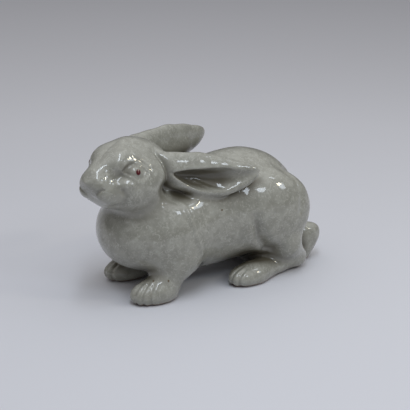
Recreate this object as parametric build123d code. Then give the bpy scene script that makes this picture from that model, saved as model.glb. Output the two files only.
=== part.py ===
from build123d import *
import os
from math import cos, pi, radians, sin, tan

# Ceramic rabbit, crouching on four feet with its ears laid back and its head turned to its left.
# Millimetres. The nose points to -Y, the rabbit's left is +X, up is +Z. The origin lies on the
# surface that the rabbit stands on, in the middle of its overall length and width.
#
# Every rounded form is a loft through ellipses. The ellipses stand across the form's axis at even
# steps of a half turn, so that they crowd together at the ends and close each end as a dome.

# Clay and joints
WALL = 5.0
LUTE_GAP = 0.2
ENAMEL = 0.4
FLOOR_REACH = 400.0
DOME_RING = 0.4

# Trunk, from breast to rump
TRUNK_LENGTH = 181.0
TRUNK_MIDDLE_Y = 2.0
BREAST_TIP_HEIGHT = 47.0
BREAST_WIDTH = 64.0
BREAST_TOP = 75.0
BREAST_BELLY = 22.0
SHOULDER_WIDTH = 82.0
SHOULDER_TOP = 92.0
SHOULDER_BELLY = 13.0
WAIST_WIDTH = 85.0
WAIST_TOP = 101.0
WAIST_BELLY = 9.5
LOIN_WIDTH = 87.0
LOIN_TOP = 104.0
LOIN_BELLY = 13.0
RUMP_WIDTH = 62.0
RUMP_TOP = 85.0
RUMP_BELLY = 14.0
RUMP_TIP_HEIGHT = 42.0
VENT_DIAMETER = 8.0

# Shoulder and haunch swellings on each side of the trunk
SHOULDER_SPREAD = 60.0
SHOULDER_FROM_BREAST = 50.0
SHOULDER_SWELL_HEIGHT = 48.0
SHOULDER_SWELL_SIZE = (36.0, 60.0, 70.0)
HAUNCH_SPREAD = 62.0
HAUNCH_FROM_RUMP = 36.5
HAUNCH_HEIGHT = 55.0
HAUNCH_SIZE = (36.0, 70.0, 68.0)

# Head, from nose tip to nape
HEAD_LENGTH = 84.0
HEAD_TURN = 22.0
NOSE_SIDE = 23.0
NOSE_BEFORE_BREAST = 22.6
NOSE_HEIGHT = 98.0
MUZZLE_WIDTH = 27.0
MUZZLE_TOP = 110.0
MUZZLE_CHIN = 82.0
CHEEK_WIDTH = 37.0
CHEEK_TOP = 121.0
CHEEK_JAW = 76.0
BROW_WIDTH = 52.0
BROW_TOP = 130.0
BROW_JAW = 74.0
CROWN_WIDTH = 60.0
CROWN_TOP = 127.0
CROWN_JAW = 76.0
NAPE_WIDTH = 48.0
NAPE_TOP = 115.0
NAPE_THROAT = 84.0
NAPE_TIP_HEIGHT = 101.0
MUZZLE_LEAN = 26.0
CHEEK_LEAN = 20.0

# Soft forms on each side of the head, placed from the nose tip, with width, length and depth
JOWL_FROM_NOSE = 42.0
JOWL_SPREAD = 32.0
JOWL_HEIGHT = 91.0
JOWL_SIZE = (27.0, 46.0, 32.0)
BROW_RIDGE_FROM_NOSE = 34.0
BROW_RIDGE_SPREAD = 22.0
BROW_RIDGE_HEIGHT = 115.0
BROW_RIDGE_SIZE = (18.0, 32.0, 18.0)

# Neck, from inside the trunk to inside the head
NECK_FROM_BREAST = 54.0
NECK_ROOT_HEIGHT = 62.0
NECK_ROOT_WIDTH = 74.0
NECK_ROOT_DEPTH = 76.0
NECK_TOP_FROM_NOSE = 58.0
NECK_TOP_HEIGHT = 97.0
NECK_TOP_WIDTH = 50.0
NECK_TOP_DEPTH = 50.0

# Eyes, placed on the head from the nose tip
EYE_FROM_NOSE = 34.0
EYE_SPREAD = 37.5
EYE_HEIGHT = 107.0
EYEBALL_DIAMETER = 14.0
PUPIL_WIDTH = 3.8
PUPIL_HEIGHT = 4.4
EYE_LIFT_ANGLE = 18.0
EYE_FORWARD_ANGLE = 14.0

# Ears: each has a root in the head, a tip behind it and a scoop that faces outwards
EAR_WIDTH = 35.0
EAR_BACK_DEPTH = 9.0
EAR_FRONT_DEPTH = 7.5
EAR_ROOT_SUNK = 9.0
EAR_SAG = 4.5
EAR_TAPER = (0.69, 0.9, 1.0, 0.79, 0.36)
EAR_SWELLS = (0.9, 1.0, 0.95, 0.7, 0.4)
SCOOP_WIDTH = 16.0
SCOOP_FLOOR_DEPTH = 4.5
SCOOP_TAPER = (0.45, 0.83, 1.0, 0.88, 0.45)
SCOOP_START_SHARE = 0.18
SCOOP_END_SHARE = 0.8
SCOOP_START_DROP = 5.5
SCOOP_END_DROP = 11.0
EAR_ROOT_SPREAD = 35.0
LEFT_EAR_ROOT_FROM_NOSE = 58.5
LEFT_EAR_ROOT_HEIGHT = 106.5
LEFT_EAR_BACK = 81.0
LEFT_EAR_OUT = 27.0
LEFT_EAR_DROP = 9.0
LEFT_EAR_TILT = 25.0
RIGHT_EAR_ROOT_FROM_NOSE = 72.0
RIGHT_EAR_ROOT_HEIGHT = 112.0
RIGHT_EAR_BACK = 82.0
RIGHT_EAR_OUT = 25.0
RIGHT_EAR_DROP = 2.5
RIGHT_EAR_TILT = 10.0

# Forelegs
FOREARM_TOP_SPREAD = 54.0
LEFT_PAW_SIDE = 32.5
RIGHT_PAW_SIDE = 23.5
FOREARM_FROM_BREAST = 58.0
FOREARM_HEIGHT = 44.0
FOREARM_REACH = 20.5
FOREARM_WIDTH = 30.0
WRIST_WIDTH = 24.0
RIGHT_PAW_BACK = 3.5
PAW_LENGTH = 41.0
PAW_WIDTH = 26.0
PAW_HEIGHT = 18.0
PAW_SUNK = 4.0
PAW_BEHIND_WRIST = 13.0
PAW_TIP_HEIGHT = 6.0
PAW_TAPER = (0.7, 0.92, 1.0, 0.95, 0.7)
PAW_SWELLS = (0.85, 1.0, 1.0, 0.93, 0.72)
TOE_LENGTH = 13.0
TOE_SLIT_WIDTH = 1.4
TOE_SLIT_DEPTH = 1.8
TOE_FAN = 7.0

# Hind legs
HEEL_SPREAD = 52.0
HEEL_FROM_RUMP = 3.5
HEEL_LIFT = 3.0
HIND_FOOT_LENGTH = 82.0
HIND_FOOT_TURN = 10.0
HIND_FOOT_WIDTH = 19.0
HIND_FOOT_TAPER = (0.75, 0.9, 1.0, 1.3, 1.0)
HIND_FOOT_HEIGHT = 15.5
HOCK_WIDTH = 24.0
HOCK_HEIGHT = 37.0
HOCK_LEAN = 22.0
HOCK_TAPER = (0.8, 1.0, 1.0, 0.9, 0.65)
ANKLE_HEIGHT = 7.0
HEEL_TIP_HEIGHT = 9.0
HIND_FOOT_SWELLS = (1.0, 1.0, 0.95, 1.0, 0.8)

# Tail
TAIL_SIDE = 12.0
TAIL_BEHIND_RUMP = 5.0
TAIL_SUNK = 4.0
TAIL_LENGTH = 36.5
TAIL_LEAN = 13.5
TAIL_WIDTHS = (14.0, 18.0, 20.0, 19.0, 13.0)
TAIL_FRONT_DEPTHS = (15.0, 20.0, 20.0, 18.0, 12.0)
TAIL_BACK_DEPTHS = (3.0, 6.0, 9.5, 10.3, 7.6)

UP = Vector(0, 0, 1)
BREAST_Y = TRUNK_MIDDLE_Y - TRUNK_LENGTH / 2
RUMP_Y = TRUNK_MIDDLE_Y + TRUNK_LENGTH / 2
HEAD_BACK = Vector(-sin(radians(HEAD_TURN)), cos(radians(HEAD_TURN)), 0)
HEAD_LEFT = Vector(cos(radians(HEAD_TURN)), sin(radians(HEAD_TURN)), 0)
NOSE = Vector(NOSE_SIDE, BREAST_Y - NOSE_BEFORE_BREAST, 0)


def axis(start, along, up=UP):
    """A plane at the start of a form: Z runs along the form and Y is its up."""
    return Plane(origin=start, x_dir=up.cross(along), z_dir=along)


def swell(plane, length, widths, tops, bottoms, ends, grow=0.0, shifts=None, leans=None):
    """A form with domed ends, lofted through ellipses of the given widths, tops and bottoms.

    ends gives the heights of the two end points, and grow moves the whole skin outwards. shifts moves
    ellipses sideways, and leans swings them about the first end's height so that their feet fall back.
    One more ellipse near each end point, worked out from the next one as on a sphere, keeps the dome
    round.
    """
    turn = pi / (len(widths) + 1)
    half = length / 2 + grow

    def ring(angle, height, half_width, half_depth, shift, lean):
        along = length / 2 - half * cos(angle)
        hinge = Pos(shift, ends[0], along) * Rot(-lean, 0, 0)
        return plane * (hinge * Pos(0, height - ends[0], 0) * Ellipse(half_width, half_depth))

    def dome(angle, next_angle, end, height, half_width, half_depth, shift, lean):
        share = sin(angle) / sin(next_angle)
        middle = end + (height - end) * share**2
        return ring(angle, middle, half_width * share, half_depth * share, shift * share**2, lean)

    level = [0.0] * len(widths)
    rings = []
    rows = zip(widths, tops, bottoms, shifts or level, leans or level)
    for step, (width, top, bottom, shift, lean) in enumerate(rows, start=1):
        half_depth = (top - bottom) / 2 + grow
        rings.append((step * turn, (top + bottom) / 2, width / 2 + grow, half_depth, shift, lean))
    first_angle, *first = rings[0]
    last_angle, *last = rings[-1]
    cap = turn * DOME_RING
    start = plane.from_local_coords(Vector(0, ends[0], -grow))
    finish = plane.from_local_coords(Vector(0, ends[1], length + grow))
    return loft([
        Vertex(*start),
        dome(cap, first_angle, ends[0], *first),
        *[ring(*values) for values in rings],
        dome(pi - cap, last_angle, ends[1], *last),
        Vertex(*finish),
    ])


def egg(centre, size, grow=0.0, along=Vector(0, 1, 0)):
    """An ellipsoid of the given width, length and depth."""
    width, length, depth = size
    steps = [sin(pi * step / 6) for step in range(1, 6)]
    tops = [depth / 2 * step for step in steps]
    bottoms = [-top for top in tops]
    plane = axis(centre - along * (length / 2), along)
    return swell(plane, length, [width * step for step in steps], tops, bottoms, (0, 0), grow)


def on_head(from_nose, left, height):
    """A point given by its distance behind the nose, its distance to the left, and its height."""
    return NOSE + HEAD_BACK * from_nose + HEAD_LEFT * left + UP * height


def trunk_form(grow=0.0):
    """The barrel of the trunk without its shoulders and haunches."""
    return swell(
        axis(Vector(0, BREAST_Y, 0), Vector(0, 1, 0)),
        TRUNK_LENGTH,
        (BREAST_WIDTH, SHOULDER_WIDTH, WAIST_WIDTH, LOIN_WIDTH, RUMP_WIDTH),
        (BREAST_TOP, SHOULDER_TOP, WAIST_TOP, LOIN_TOP, RUMP_TOP),
        (BREAST_BELLY, SHOULDER_BELLY, WAIST_BELLY, LOIN_BELLY, RUMP_BELLY),
        (BREAST_TIP_HEIGHT, RUMP_TIP_HEIGHT),
        grow,
    )


def body_form(grow=0.0):
    """The trunk with a shoulder and a haunch swelling on each side."""
    form = trunk_form(grow)
    for side in (1, -1):
        shoulder = Vector(
            side * SHOULDER_SPREAD / 2, BREAST_Y + SHOULDER_FROM_BREAST, SHOULDER_SWELL_HEIGHT
        )
        haunch = Vector(side * HAUNCH_SPREAD / 2, RUMP_Y - HAUNCH_FROM_RUMP, HAUNCH_HEIGHT)
        form += egg(shoulder, SHOULDER_SWELL_SIZE, grow) + egg(haunch, HAUNCH_SIZE, grow)
    return form


def neck_form(grow=0.0):
    """The neck, from a ring inside the trunk to a ring inside the head."""
    root = Vector(0, BREAST_Y + NECK_FROM_BREAST, NECK_ROOT_HEIGHT)
    top = on_head(NECK_TOP_FROM_NOSE, 0, NECK_TOP_HEIGHT)
    plane = axis(root, top - root)
    rings = (
        Ellipse(NECK_ROOT_WIDTH / 2 + grow, NECK_ROOT_DEPTH / 2 + grow),
        Pos(0, 0, (top - root).length) * Ellipse(NECK_TOP_WIDTH / 2 + grow, NECK_TOP_DEPTH / 2 + grow),
    )
    return loft([plane * ring for ring in rings], ruled=True)


def skull_form(grow=0.0):
    """The head without its soft forms, neck, eyes and ears, from the nose tip back to the nape."""
    return swell(
        axis(NOSE, HEAD_BACK),
        HEAD_LENGTH,
        (MUZZLE_WIDTH, CHEEK_WIDTH, BROW_WIDTH, CROWN_WIDTH, NAPE_WIDTH),
        (MUZZLE_TOP, CHEEK_TOP, BROW_TOP, CROWN_TOP, NAPE_TOP),
        (MUZZLE_CHIN, CHEEK_JAW, BROW_JAW, CROWN_JAW, NAPE_THROAT),
        (NOSE_HEIGHT, NAPE_TIP_HEIGHT),
        grow,
        leans=(MUZZLE_LEAN, CHEEK_LEAN, 0, 0, 0),
    )


def head_form(grow=0.0):
    """The head with its jowls and brow ridges."""
    form = skull_form(grow)
    for side in (1, -1):
        jowl = on_head(JOWL_FROM_NOSE, side * JOWL_SPREAD / 2, JOWL_HEIGHT)
        brow = on_head(BROW_RIDGE_FROM_NOSE, side * BROW_RIDGE_SPREAD / 2, BROW_RIDGE_HEIGHT)
        form += egg(jowl, JOWL_SIZE, grow, HEAD_BACK)
        form += egg(brow, BROW_RIDGE_SIZE, grow, HEAD_BACK)
    return form


def eye_axis(side):
    """A plane at the eyeball's centre whose Z is the way the eye looks."""
    lift = radians(EYE_LIFT_ANGLE)
    turn = radians(EYE_FORWARD_ANGLE)
    centre = on_head(EYE_FROM_NOSE, side * EYE_SPREAD / 2, EYE_HEIGHT)
    level = HEAD_LEFT * (side * cos(turn)) - HEAD_BACK * sin(turn)
    return axis(centre, level * cos(lift) + UP * sin(lift))


def eye_enamel(side):
    """The oval of red enamel on the front of an eyeball."""
    ball = EYEBALL_DIAMETER / 2
    plane = eye_axis(side)
    oval = extrude(plane * Ellipse(PUPIL_WIDTH / 2, PUPIL_HEIGHT / 2), amount=2 * ball, dir=plane.z_dir)
    return oval & (plane * Sphere(ball + ENAMEL)) - plane * Sphere(ball)


def ear(side, root_from_nose, root_height, back, out, drop, tilt):
    """An ear laid back along the body: a long sagging leaf with a scoop in its outer face."""
    root = on_head(root_from_nose, side * EAR_ROOT_SPREAD / 2, root_height)
    reach = Vector(side * out, back, -drop)
    along = reach.normalized()
    face = Vector(side, -out / back, tan(radians(tilt)))
    stalk = axis(root - along * EAR_ROOT_SUNK, along, face)
    down = -stalk.x_dir if stalk.x_dir.Z > 0 else stalk.x_dir
    sag = down.dot(stalk.x_dir) * EAR_SAG
    leaf = swell(
        stalk,
        reach.length + EAR_ROOT_SUNK,
        [EAR_WIDTH * share for share in EAR_TAPER],
        [EAR_FRONT_DEPTH * share for share in EAR_SWELLS],
        [-EAR_BACK_DEPTH * share for share in EAR_SWELLS],
        (0, 0),
        shifts=[sag * sin(pi * step / 6) ** 2 for step in range(1, 6)],
    )
    scoop_start = root + reach * SCOOP_START_SHARE + down * SCOOP_START_DROP
    scoop_reach = root + reach * SCOOP_END_SHARE + down * SCOOP_END_DROP - scoop_start
    scoop = swell(
        axis(scoop_start, scoop_reach.normalized(), face),
        scoop_reach.length,
        [SCOOP_WIDTH * share for share in SCOOP_TAPER],
        [2 * EAR_FRONT_DEPTH] * len(SCOOP_TAPER),
        [EAR_FRONT_DEPTH - (EAR_FRONT_DEPTH + SCOOP_FLOOR_DEPTH) * share for share in SCOOP_TAPER],
        (EAR_FRONT_DEPTH, EAR_FRONT_DEPTH),
    )
    return leaf - scoop


def with_toes(plane, length, widths, tops, bottoms, ends):
    """A foot whose front is slit into four toes that fan out, all slits equally deep."""
    foot = swell(plane, length, widths, tops, bottoms, ends)
    core = swell(plane, length, widths, tops, bottoms, ends, -TOE_SLIT_DEPTH)
    pitch = max(widths) / 4
    for count in (-1, 0, 1):
        blade = Box(TOE_SLIT_WIDTH, 4 * max(tops), 2 * TOE_LENGTH)
        slit = plane * (Pos(count * pitch, 0, length) * Rot(0, count * TOE_FAN, 0) * blade)
        foot -= slit - core
    return foot


def foreleg(side, paw_side, paw_back=0.0):
    """A forearm that comes down out of the shoulder, and its paw."""
    top = Vector(side * FOREARM_TOP_SPREAD / 2, BREAST_Y + FOREARM_FROM_BREAST, FOREARM_HEIGHT)
    wrist = Vector(side * paw_side, top.Y - FOREARM_REACH + paw_back, PAW_HEIGHT / 2)
    reach = wrist - top
    along = reach.normalized()
    over = WRIST_WIDTH / 2
    elbow_width = (FOREARM_WIDTH + WRIST_WIDTH) / 2
    widths = (0.9 * FOREARM_WIDTH, FOREARM_WIDTH, elbow_width, WRIST_WIDTH, 0.7 * WRIST_WIDTH)
    arm = swell(
        axis(top - along * over, along),
        reach.length + 2 * over,
        widths,
        [width / 2 for width in widths],
        [-width / 2 for width in widths],
        (0, 0),
    )
    heel = Vector(wrist.X, wrist.Y + PAW_BEHIND_WRIST, 0)
    paw = with_toes(
        axis(heel, Vector(0, -1, 0)),
        PAW_LENGTH,
        [PAW_WIDTH * share for share in PAW_TAPER],
        [PAW_HEIGHT * share for share in PAW_SWELLS],
        [-PAW_SUNK] * len(PAW_TAPER),
        (PAW_TIP_HEIGHT, PAW_TIP_HEIGHT),
    )
    return arm + paw


def hind_leg(side):
    """A hock that comes down out of the haunch, and its long foot."""
    turn = radians(HIND_FOOT_TURN)
    heel = Vector(side * HEEL_SPREAD / 2, RUMP_Y - HEEL_FROM_RUMP, 0)
    forward = Vector(side * sin(turn), -cos(turn), 0)
    foot = with_toes(
        axis(heel, forward),
        HIND_FOOT_LENGTH,
        [HIND_FOOT_WIDTH * share for share in HIND_FOOT_TAPER],
        [HIND_FOOT_HEIGHT * share for share in HIND_FOOT_SWELLS],
        (HEEL_LIFT, 0, -PAW_SUNK, -PAW_SUNK, -PAW_SUNK),
        (HEEL_TIP_HEIGHT, PAW_TIP_HEIGHT),
    )
    ankle = heel + forward * (HIND_FOOT_WIDTH / 2) + UP * ANKLE_HEIGHT
    top = ankle + forward * HOCK_LEAN + UP * (HOCK_HEIGHT - ANKLE_HEIGHT)
    reach = ankle - top
    widths = [HOCK_WIDTH * share for share in HOCK_TAPER]
    hock = swell(
        axis(top, reach.normalized()),
        reach.length,
        widths,
        [width / 2 for width in widths],
        [-width / 2 for width in widths],
        (0, 0),
    )
    return foot + hock


def tail_form():
    """The short tail, standing up behind the rump as a wedge that is thick towards the rump."""
    lean = radians(TAIL_LEAN)
    root = Vector(TAIL_SIDE, RUMP_Y + TAIL_BEHIND_RUMP, -TAIL_SUNK)
    return swell(
        axis(root, Vector(0, sin(lean), cos(lean)), Vector(0, -1, 0)),
        TAIL_LENGTH,
        TAIL_WIDTHS,
        TAIL_FRONT_DEPTHS,
        [-depth for depth in TAIL_BACK_DEPTHS],
        (0, 0),
    )


def above_floor(form):
    """The form with everything under the floor cut off, which leaves a flat sole."""
    under = Box(FLOOR_REACH, FLOOR_REACH, FLOOR_REACH, align=(Align.CENTER, Align.CENTER, Align.MAX))
    return form - under


def build():
    """All pieces by node name, each cut to the pieces that it is luted to."""
    body_seat = body_form(LUTE_GAP)
    head_seat = head_form(LUTE_GAP) + neck_form(LUTE_GAP)
    neck_hollow = neck_form(-WALL)
    vent = Pos(0, TRUNK_MIDDLE_Y, WAIST_BELLY) * Cylinder(VENT_DIAMETER / 2, 4 * WALL)

    pieces = {}
    pieces["trunk_shell"] = body_form() - body_form(-WALL) - neck_hollow - vent
    head = head_form() + neck_form()
    for side in (1, -1):
        head += eye_axis(side) * Sphere(EYEBALL_DIAMETER / 2)
    pieces["head_shell"] = head - body_seat - skull_form(-WALL) - neck_hollow
    left_ear = ear(
        1,
        LEFT_EAR_ROOT_FROM_NOSE,
        LEFT_EAR_ROOT_HEIGHT,
        LEFT_EAR_BACK,
        LEFT_EAR_OUT,
        LEFT_EAR_DROP,
        LEFT_EAR_TILT,
    )
    right_ear = ear(
        -1,
        RIGHT_EAR_ROOT_FROM_NOSE,
        RIGHT_EAR_ROOT_HEIGHT,
        RIGHT_EAR_BACK,
        RIGHT_EAR_OUT,
        RIGHT_EAR_DROP,
        RIGHT_EAR_TILT,
    )
    pieces["left_ear"] = left_ear - head_seat - body_seat
    pieces["right_ear"] = right_ear - head_seat - body_seat
    pieces["left_foreleg"] = above_floor(foreleg(1, LEFT_PAW_SIDE)) - body_seat
    pieces["right_foreleg"] = above_floor(foreleg(-1, RIGHT_PAW_SIDE, RIGHT_PAW_BACK)) - body_seat
    pieces["left_hind_leg"] = above_floor(hind_leg(1)) - body_seat
    pieces["right_hind_leg"] = above_floor(hind_leg(-1)) - body_seat
    pieces["tail"] = above_floor(tail_form()) - body_seat
    pieces["left_eye_enamel"] = eye_enamel(1)
    pieces["right_eye_enamel"] = eye_enamel(-1)
    return pieces


os.makedirs("parts", exist_ok=True)
for name, piece in build().items():
    export_step(piece, f"parts/{name}.step")
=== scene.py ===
"""A crouching rabbit in glazed stoneware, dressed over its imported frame.

The rabbit is cast in parts that are luted together, glazed and fired, so that one glassy skin runs
over all of them. Each part is a class whose form is a distance field in millimetres: negative inside,
zero on the surface, positive outside. The fields are melted into each other, as slip and glaze melt
the joints, and the zero level is meshed once. The nose points to -Y, the rabbit's left is +X.
"""

from __future__ import annotations

import logging
import math
from dataclasses import dataclass
from enum import Enum
from typing import Callable, Sequence

import bpy
import numpy as np
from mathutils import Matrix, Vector

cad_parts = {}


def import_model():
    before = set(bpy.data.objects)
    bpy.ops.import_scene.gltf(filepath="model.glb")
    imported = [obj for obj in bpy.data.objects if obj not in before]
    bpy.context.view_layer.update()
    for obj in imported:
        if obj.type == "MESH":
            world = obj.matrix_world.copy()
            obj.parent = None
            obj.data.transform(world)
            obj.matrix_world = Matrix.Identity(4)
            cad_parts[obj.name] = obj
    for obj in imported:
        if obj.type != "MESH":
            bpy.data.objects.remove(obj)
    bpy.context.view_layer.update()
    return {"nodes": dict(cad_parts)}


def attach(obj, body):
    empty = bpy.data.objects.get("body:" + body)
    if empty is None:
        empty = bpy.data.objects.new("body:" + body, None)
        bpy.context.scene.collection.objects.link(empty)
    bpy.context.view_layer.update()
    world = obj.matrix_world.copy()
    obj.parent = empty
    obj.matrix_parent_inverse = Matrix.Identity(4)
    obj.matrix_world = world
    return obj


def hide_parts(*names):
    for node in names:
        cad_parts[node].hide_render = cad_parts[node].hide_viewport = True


LOG = logging.getLogger("rabbit")
MM = 0.001

Array = np.ndarray
Pair = tuple[float, float]
Triple = tuple[float, float, float]
Colour = tuple[float, float, float, float]
Field = Callable[[Array], Array]

BACK: Triple = (0.0, 1.0, 0.0)
UP: Triple = (0.0, 0.0, 1.0)

# Least values, which keep a division from meeting zero
LEAST_RATIO = 1e-6
LEAST_SLOPE = 1e-4
LEAST_LENGTH = 1e-9
LEAST_HALF = 0.05
# The sections of a dome stop short of its poles by this angle, in radians
POLE_MARGIN = 0.03
# Past this height, in units of a section's half height, an egg shape narrows no more
EGG_LIMIT = 1.4


class Side(Enum):
    """The two sides of the rabbit, as the sign of X."""

    LEFT = 1
    RIGHT = -1

    def mirror(self, points: Array) -> Array:
        """The points seen as if this were the left side."""
        return points * (self.value, 1, 1)


def melt(one: Array, other: Array, band: float) -> Array:
    """Joins two forms, with the crease between them filled.

    The lower value, less h * h * band / 4, where h falls from 1 to 0 as the values part by band.

    Args:
        one: Distances to the first form.
        other: Distances to the second form.
        band: Width of the fillet in millimetres.

    Returns:
        Distances to the joined form.
    """
    share = np.maximum(band - np.abs(one - other), 0) / band
    return np.minimum(one, other) - share * share * (band / 4)


def cut(one: Array, other: Array, band: float) -> Array:
    """Takes the second form out of the first and rounds the edge over the given band."""
    return -melt(-one, other, band)


def fade(values: Array, start: float, end: float) -> Array:
    """A smooth step from 0 at start to 1 at end."""
    t = np.clip((values - start) / (end - start), 0, 1)
    return t * t * (3 - 2 * t)


def rows(points: Array, origin: Array, axes: Array) -> tuple[Array, Array, Array]:
    """The points' distances from an origin along three axes.

    Args:
        points: Points as rows.
        origin: Where the distances are counted from.
        axes: Three unit vectors as rows.

    Returns:
        One array of distances for each axis.
    """
    local = (points - origin) @ axes.T
    return local[..., 0], local[..., 1], local[..., 2]


def triad(along: Sequence[float], up: Sequence[float]) -> Array:
    """Three square unit vectors: side, along and up, with side = along x up.

    Args:
        along: The way of the second vector, of any length.
        up: About the way of the third vector, which is made square to the second.

    Returns:
        The unit vectors as rows.
    """
    forward = np.asarray(along, float)
    forward = forward / np.linalg.norm(forward)
    top = np.asarray(up, float)
    top = top - forward * (top @ forward)
    top = top / np.linalg.norm(top)
    return np.stack([np.cross(forward, top), forward, top])


def even_curve(values: Sequence[float], steps: Array) -> Array:
    """A smooth curve through values at whole steps: Hermite cubics with central slopes.

    Args:
        values: The values at steps 0, 1, 2 and so on.
        steps: Where the curve is wanted, between 0 and the last step.

    Returns:
        The curve's value at each of the steps.
    """
    knots = np.asarray(values, float)
    slopes = np.gradient(knots)
    first = np.clip(steps.astype(int), 0, len(knots) - 2)
    t = steps - first
    start, end = knots[first], knots[first + 1]
    leave, arrive = slopes[first], slopes[first + 1]
    bend = 2 * (start - end) + leave + arrive
    return start + t * (leave + t * ((end - start - leave - bend) + t * bend))


@dataclass(frozen=True)
class Swell:
    """A domed form along an axis, given by its cross sections.

    The sections are ellipses that stand across the axis at even steps of a half turn, as circles of
    latitude do on a ball, so the two ends close as domes. Tops and bottoms count from the axis.

    Attributes:
        start: First end of the axis.
        end: Last end of the axis.
        up: The way that tops and bottoms count.
        halves: Half widths of the sections, the two ends included.
        tops: Heights of the sections' tops.
        bottoms: Heights of the sections' bottoms.
        bow: How far the middle of the axis is bowed to its side.
        skew: How much more the last half is bowed than the first, as a share.
        egg: How much narrower a section is at its top than at its middle, as a share.
    """

    start: Triple
    end: Triple
    up: Triple
    halves: Sequence[float]
    tops: Sequence[float]
    bottoms: Sequence[float]
    bow: float = 0.0
    skew: float = 0.0
    egg: float = 0.0

    def distance(self, points: Array) -> Array:
        """Distances to the form.

        For a section of half width w and half height h, rho is the length of (x / w, z / h), and the
        distance is (rho - 1) over the slope of rho. Past the ends the overshoot is added squarely.

        Args:
            points: Points as rows.

        Returns:
            One distance for each point.
        """
        origin = np.asarray(self.start, float)
        reach = np.asarray(self.end, float) - origin
        length = float(np.linalg.norm(reach))
        x, y, z = rows(points, origin, triad(reach, self.up))
        if self.bow:
            share = np.clip(y / length, 0, 1)
            x = x - self.bow * (4 * share * (1 - share) * (1 + self.skew * (2 * share - 1)))
        half = length / 2
        turn = np.arccos(np.clip(1 - y / half, -1, 1))
        steps = np.clip(turn, POLE_MARGIN, math.pi - POLE_MARGIN) * ((len(self.tops) - 1) / math.pi)
        top = even_curve(self.tops, steps)
        bottom = even_curve(self.bottoms, steps)
        wide = np.maximum(even_curve(self.halves, steps), LEAST_HALF)
        high = np.maximum((top - bottom) / 2, LEAST_HALF)
        z = z - (top + bottom) / 2
        wide = wide * (1 - self.egg * np.clip(z / high, -EGG_LIMIT, EGG_LIMIT))
        rho = np.sqrt((x / wide) ** 2 + (z / high) ** 2) + LEAST_RATIO
        slope = np.sqrt((x / wide**2) ** 2 + (z / high**2) ** 2) / rho + LEAST_SLOPE
        across = (rho - 1) / slope
        over = np.maximum(np.abs(y - half) - half, 0)
        return np.where(over > 0, np.hypot(np.maximum(across, 0), over), across)


@dataclass(frozen=True)
class Pod:
    """An ellipsoid: its centre, its three half sizes, and the level way that its second axis points."""

    centre: Triple
    halves: Triple
    along: Triple = BACK

    def distance(self, points: Array) -> Array:
        """Distances to the pod: k (k - 1) over half the slope of k * k, k in units of its half sizes.

        Args:
            points: Points as rows.

        Returns:
            One distance for each point.
        """
        local = np.stack(rows(points, np.asarray(self.centre, float), triad(self.along, UP)), -1)
        halves = np.asarray(self.halves, float)
        k = np.linalg.norm(local / halves, axis=-1)
        slope = np.linalg.norm(local / (halves * halves), axis=-1) + LEAST_LENGTH
        return k * (k - 1) / slope


@dataclass(frozen=True)
class Limb:
    """A round rod that tapers between two points, with ball ends."""

    start: Triple
    end: Triple
    first: float
    last: float

    def distance(self, points: Array) -> Array:
        """Distances to the nearest point of the axis, less the radius there.

        Args:
            points: Points as rows.

        Returns:
            One distance for each point.
        """
        origin = np.asarray(self.start, float)
        reach = np.asarray(self.end, float) - origin
        share = np.clip(((points - origin) @ reach) / (reach @ reach), 0, 1)
        gap = np.linalg.norm(points - origin - share[..., None] * reach, axis=-1)
        return gap - (self.first + (self.last - self.first) * share)


@dataclass(frozen=True)
class Lump:
    """A lump of clay that is pressed onto a form, and the width of the fillet round it."""

    form: Pod | Limb
    band: float

    def press(self, form: Array, points: Array) -> Array:
        """Distances to a form with the lump on it."""
        return melt(form, self.form.distance(points), self.band)


@dataclass(frozen=True)
class Stroke:
    """A modelling tool's mark along a line drawn on one side of the clay.

    Attributes:
        line: Points of the line, as two coordinates of a side view.
        depth: How deep the mark is in the middle. A negative depth raises a ridge.
        width: Distance from the line at which the mark fades.
    """

    line: Sequence[Pair]
    depth: float
    width: float

    def mark(self, u: Array, v: Array) -> Array:
        """How far the surface moves inwards: depth * exp(-(gap / width)^2).

        Args:
            u: First coordinate of each point in the side view.
            v: Second coordinate.

        Returns:
            The depth of the mark at each point.
        """
        gap_squared = np.full(u.shape, np.inf)
        knots = np.asarray(self.line, float)
        for start, end in zip(knots[:-1], knots[1:]):
            reach = end - start
            along = (u - start[0]) * reach[0] + (v - start[1]) * reach[1]
            share = np.clip(along / (reach @ reach), 0, 1)
            here = (u - start[0] - share * reach[0]) ** 2 + (v - start[1] - share * reach[1]) ** 2
            gap_squared = np.minimum(gap_squared, here)
        return self.depth * np.exp(-gap_squared / self.width**2)


@dataclass(frozen=True)
class Ring:
    """A mark round the eye: its place in units of the eye opening, its depth and its width."""

    place: float
    depth: float
    width: float

    def mark(self, lens: Array) -> Array:
        """How far the surface moves inwards: depth * exp(-((lens - place) / width)^2)."""
        return self.depth * np.exp(-(((lens - self.place) / self.width) ** 2))


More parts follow.
